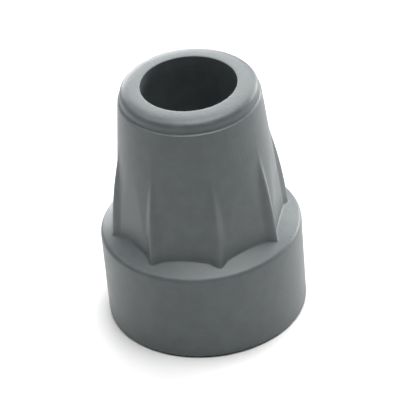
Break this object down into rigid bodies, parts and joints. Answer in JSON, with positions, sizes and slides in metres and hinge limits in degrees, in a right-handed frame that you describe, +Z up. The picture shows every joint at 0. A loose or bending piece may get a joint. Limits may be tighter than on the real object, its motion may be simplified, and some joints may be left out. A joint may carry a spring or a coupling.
{
  "type": "rubber cane tip",
  "caption": "Tapered rubber cane tip with a ribbed cone on a wide foot and a blind round socket in its rounded rim.",
  "frame": {"origin": "centre of the flat underside, on the floor", "axes": "+Z up along the socket's axis, out of its mouth; one rib points along +X"},
  "size_m": [0.04, 0.04, 0.052],
  "materials": {
    "grey_rubber": "satin moulded grey rubber"
  },
  "bodies": {
    "root": {"rubber_tip": "grey_rubber"}
  },
  "joints": []
}
